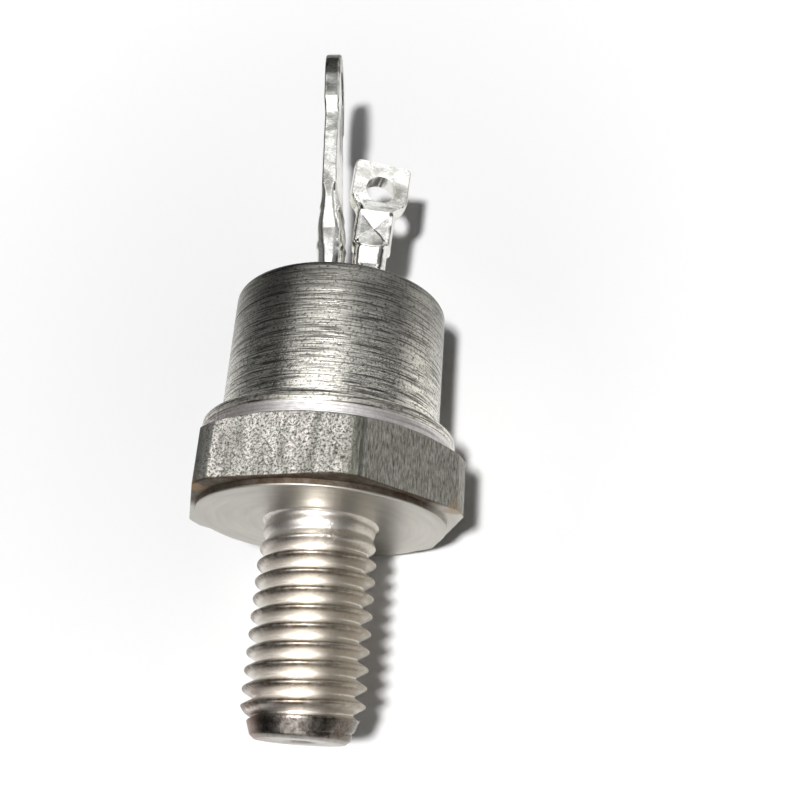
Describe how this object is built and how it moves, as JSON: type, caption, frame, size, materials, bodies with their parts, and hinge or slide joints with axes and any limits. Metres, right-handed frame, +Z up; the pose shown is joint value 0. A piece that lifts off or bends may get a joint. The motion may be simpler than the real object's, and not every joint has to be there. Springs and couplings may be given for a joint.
{
  "type": "stud-mount thyristor",
  "caption": "Stud-mount thyristor: hexagonal base with a threaded stud, welded round can, glass seal, tall cathode terminal and short gate terminal with solder holes.",
  "frame": {"origin": "centre of the seating face under the hexagon, on the axis of the stud", "axes": "the part lies at rest on one flat of its hexagon: +Y along its axis towards the terminals, -Y out of the stud's point, +Z up out of the opposite flat, +X across"},
  "size_m": [0.0156, 0.0427, 0.0142],
  "materials": {
    "plated_copper": "nickel plate over copper, turned and milled, a little stained",
    "plated_ring": "nickel plate over steel, turned",
    "plated_cap": "nickel plate over steel, with fine tool lines round the wall",
    "seal_glass": "dark fused glass, smooth",
    "plated_cathode": "tin-dipped nickel plate, slightly uneven",
    "plated_gate": "tin-dipped nickel plate, slightly uneven",
    "solder": "dull soft solder",
    "molybdenum": "ground grey metal",
    "bond_alloy": "dull alloy",
    "silicon": "lapped, dark grey",
    "varnish": "red-brown varnish",
    "contact_metal": "plated disc, satin",
    "lead_copper": "bare copper",
    "gate_wire": "plated wire",
    "sleeve": "white sleeve"
  },
  "bodies": {
    "root": {"stud_base": "plated_copper", "weld_ring": "plated_ring", "cap": "plated_cap", "glass_seal": "seal_glass", "cathode_terminal": "plated_cathode", "gate_terminal": "plated_gate", "backing_solder": "solder", "backing_plate": "molybdenum", "die_bond": "bond_alloy", "silicon_die": "silicon", "edge_varnish": "varnish", "cathode_contact": "contact_metal", "cathode_lead": "lead_copper", "gate_lead": "gate_wire", "gate_sleeve": "sleeve"}
  },
  "joints": []
}
